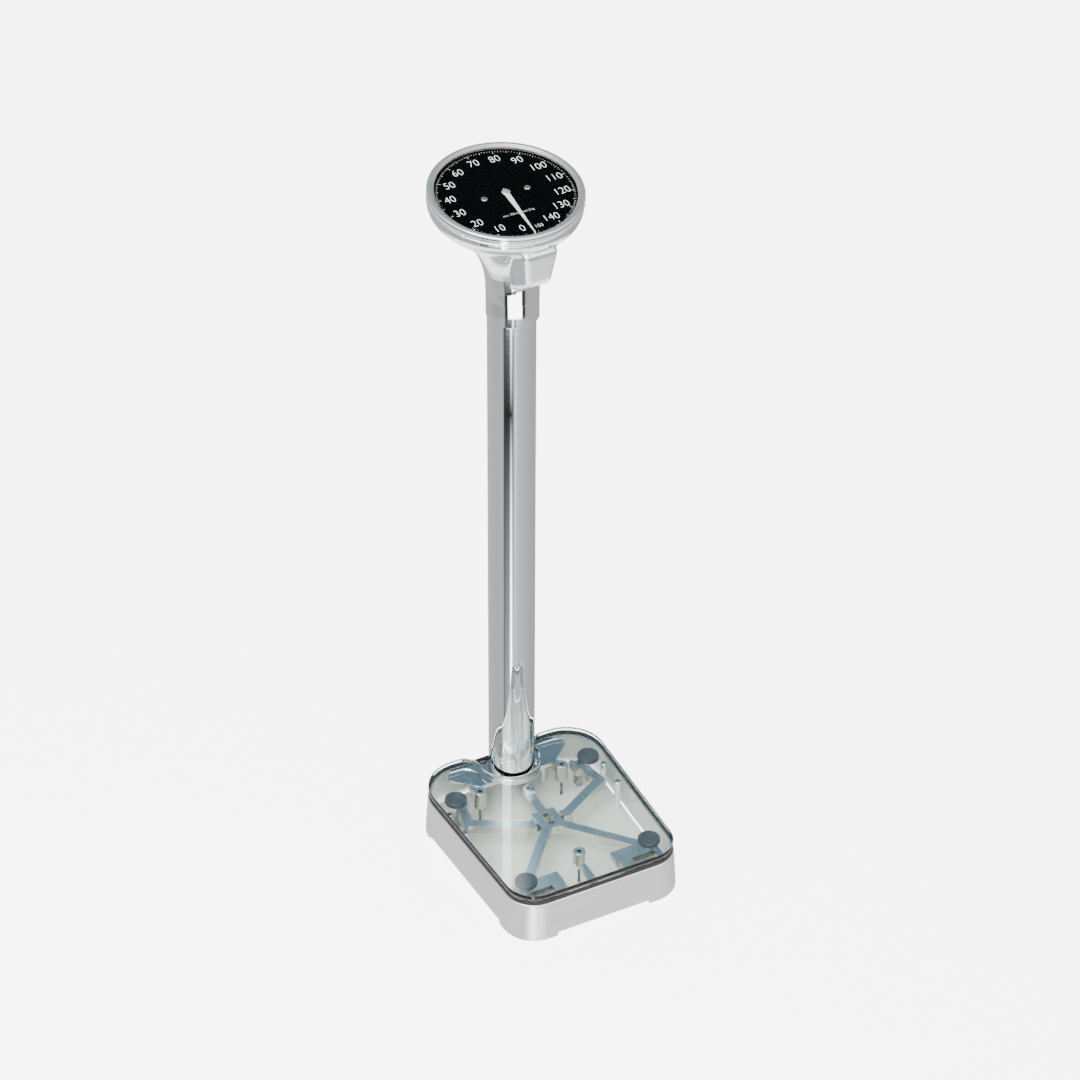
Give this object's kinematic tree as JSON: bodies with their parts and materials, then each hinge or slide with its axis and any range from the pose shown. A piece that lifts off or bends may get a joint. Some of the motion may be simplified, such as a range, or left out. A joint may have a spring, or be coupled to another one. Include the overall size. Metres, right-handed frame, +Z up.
{
  "type": "column dial scale",
  "caption": "Floor-standing mechanical column scale: glass platform on levers over a steel base, chromed column with a draw rod, and a round dial with a pointer.",
  "frame": {"origin": "on the floor, at the middle of the bounding box's bottom face", "axes": "+Z up, the user stands on the -Y side and looks along +Y at the dial, +X to the user's right"},
  "size_m": [0.3004, 0.432, 1.1106],
  "materials": {
    "chrome": "mirror plated",
    "satin_steel": "satin",
    "brushed_floor": "brushed, warm white",
    "cast_alloy": "cast, ground on top",
    "hard_steel": "ground",
    "rubber": "matt",
    "clear_glass": "clear, polished edge",
    "black_enamel": "semi-gloss",
    "white_enamel": "satin",
    "brass": "turned"
  },
  "bodies": {
    "base": {"base_shell": "satin_steel", "bezel_ring": "chrome", "bezel_screw_180": "hard_steel", "bezel_screw_300": "hard_steel", "bezel_screw_60": "hard_steel", "bridge_pillar_left": "chrome", "bridge_pillar_right": "chrome", "bridge_plate": "chrome", "column_flange": "chrome", "column_tube": "chrome", "dial_crystal": "clear_glass", "dial_face": "black_enamel", "face_screw_left": "hard_steel", "face_screw_right": "hard_steel", "floor_plate": "brushed_floor", "front_stand_left": "hard_steel", "front_stand_right": "hard_steel", "head_casting": "chrome", "levelling_post_front": "cast_alloy", "levelling_post_rear_left": "cast_alloy", "levelling_post_rear_right": "cast_alloy", "movement_frame": "brass", "post_strut": "cast_alloy", "rear_stand_left": "hard_steel", "rear_stand_right": "hard_steel", "rim_gasket": "rubber", "wall_pillar_left_1": "chrome", "wall_pillar_left_2": "chrome", "wall_pillar_right_1": "chrome", "wall_pillar_right_2": "chrome"},
    "platform": {"glass_platform": "clear_glass", "pad_front_left": "rubber", "pad_front_right": "rubber", "pad_rear_left": "rubber", "pad_rear_right": "rubber", "load_shoe_front_left": "hard_steel", "load_shoe_front_right": "hard_steel", "load_shoe_rear_left": "hard_steel", "load_shoe_rear_right": "hard_steel"},
    "long_lever": {"long_lever": "cast_alloy", "front_pivot_left": "hard_steel", "front_pivot_right": "hard_steel"},
    "hub_link": {"hub_link": "hard_steel"},
    "calibration_nut": {"calibration_nut": "chrome"},
    "short_lever": {"short_lever": "cast_alloy", "rear_pivot_left": "hard_steel", "rear_pivot_right": "hard_steel"},
    "draw_rod": {"draw_rod": "hard_steel", "main_spring": "hard_steel"},
    "bell_crank": {"bell_crank": "hard_steel"},
    "rack": {"rack": "brass"},
    "pointer": {"pointer": "white_enamel", "pinion": "brass"},
    "foot_rear_left": {"foot_rear_left": "rubber"},
    "levelling_screw_rear_left": {"levelling_screw_rear_left": "hard_steel"},
    "foot_rear_right": {"foot_rear_right": "rubber"},
    "levelling_screw_rear_right": {"levelling_screw_rear_right": "hard_steel"},
    "foot_front": {"foot_front": "rubber"},
    "levelling_screw_front": {"levelling_screw_front": "hard_steel"}
  },
  "joints": [
    {"name": "draw_rod_slide", "type": "slide", "parent": "base", "child": "draw_rod", "axis": [0, 0, -1], "range_m": [0, 0.0245], "stiffness_N_per_m": 4480, "springref_m": -0.004, "deforming": ["main_spring"]},
    {"name": "platform_slide", "type": "slide", "parent": "base", "child": "platform", "axis": [0, 0, -1], "range_m": [0, 0.00183]},
    {"name": "long_lever_hinge", "type": "hinge", "parent": "base", "child": "long_lever", "pos_m": [0, -0.18271, 0.05], "axis": [-1, 0, 0], "range_deg": [0, 5.24]},
    {"name": "short_lever_hinge", "type": "hinge", "parent": "base", "child": "short_lever", "pos_m": [0, 0.06294, 0.05], "axis": [1, 0, 0], "range_deg": [0, 7.68]},
    {"name": "hub_link_hinge", "type": "hinge", "parent": "long_lever", "child": "hub_link", "pos_m": [0, -0.03671, 0.0553], "axis": [1, 0, 0], "range_deg": [0, 9.82]},
    {"name": "calibration_nut_turn", "type": "hinge", "parent": "long_lever", "child": "calibration_nut", "pos_m": [0, 0.02929, 0.055], "axis": [0, 0, 1], "continuous": true},
    {"name": "bell_crank_hinge", "type": "hinge", "parent": "base", "child": "bell_crank", "pos_m": [0, 0.0579, 1.04009], "axis": [-1, 0, 0], "range_deg": [0, 48.2]},
    {"name": "rack_slide", "type": "slide", "parent": "base", "child": "rack", "axis": [0, 0.9938, 0.1115], "range_m": [0, 0.0245]},
    {"name": "pointer_turn", "type": "hinge", "parent": "base", "child": "pointer", "pos_m": [0, 0.10289, 1.091], "axis": [0, 0.1115, -0.9938], "range_deg": [0, 351.81]},
    {"name": "foot_slide_rear_left", "type": "slide", "parent": "base", "child": "foot_rear_left", "axis": [0, 0, -1], "range_m": [0, 0.008]},
    {"name": "levelling_screw_turn_rear_left", "type": "hinge", "parent": "foot_rear_left", "child": "levelling_screw_rear_left", "pos_m": [-0.07, 0.05429, 0.03], "axis": [0, 0, 1], "range_deg": [0, 2304.5]},
    {"name": "foot_slide_rear_right", "type": "slide", "parent": "base", "child": "foot_rear_right", "axis": [0, 0, -1], "range_m": [0, 0.008]},
    {"name": "levelling_screw_turn_rear_right", "type": "hinge", "parent": "foot_rear_right", "child": "levelling_screw_rear_right", "pos_m": [0.07, 0.05429, 0.03], "axis": [0, 0, 1], "range_deg": [0, 2304.5]},
    {"name": "foot_slide_front", "type": "slide", "parent": "base", "child": "foot_front", "axis": [0, 0, -1], "range_m": [0, 0.008]},
    {"name": "levelling_screw_turn_front", "type": "hinge", "parent": "foot_front", "child": "levelling_screw_front", "pos_m": [0, -0.13571, 0.03], "axis": [0, 0, 1], "range_deg": [0, 2304.5]}
  ],
  "couplings": [
    {"joint": "platform_slide", "follows": "draw_rod_slide", "ratio": 0.074627},
    {"joint": "long_lever_hinge", "follows": "draw_rod_slide", "rad_per_m": 3.7313},
    {"joint": "short_lever_hinge", "follows": "draw_rod_slide", "rad_per_m": 5.4672},
    {"joint": "hub_link_hinge", "follows": "draw_rod_slide", "rad_per_m": 6.9966},
    {"joint": "bell_crank_hinge", "follows": "draw_rod_slide", "rad_per_m": 34.337},
    {"joint": "rack_slide", "follows": "draw_rod_slide", "ratio": 1},
    {"joint": "pointer_turn", "follows": "draw_rod_slide", "rad_per_m": 250.62},
    {"joint": "levelling_screw_turn_rear_left", "follows": "foot_slide_rear_left", "rad_per_m": 5026.5},
    {"joint": "levelling_screw_turn_rear_right", "follows": "foot_slide_rear_right", "rad_per_m": 5026.5},
    {"joint": "levelling_screw_turn_front", "follows": "foot_slide_front", "rad_per_m": 5026.5}
  ]
}
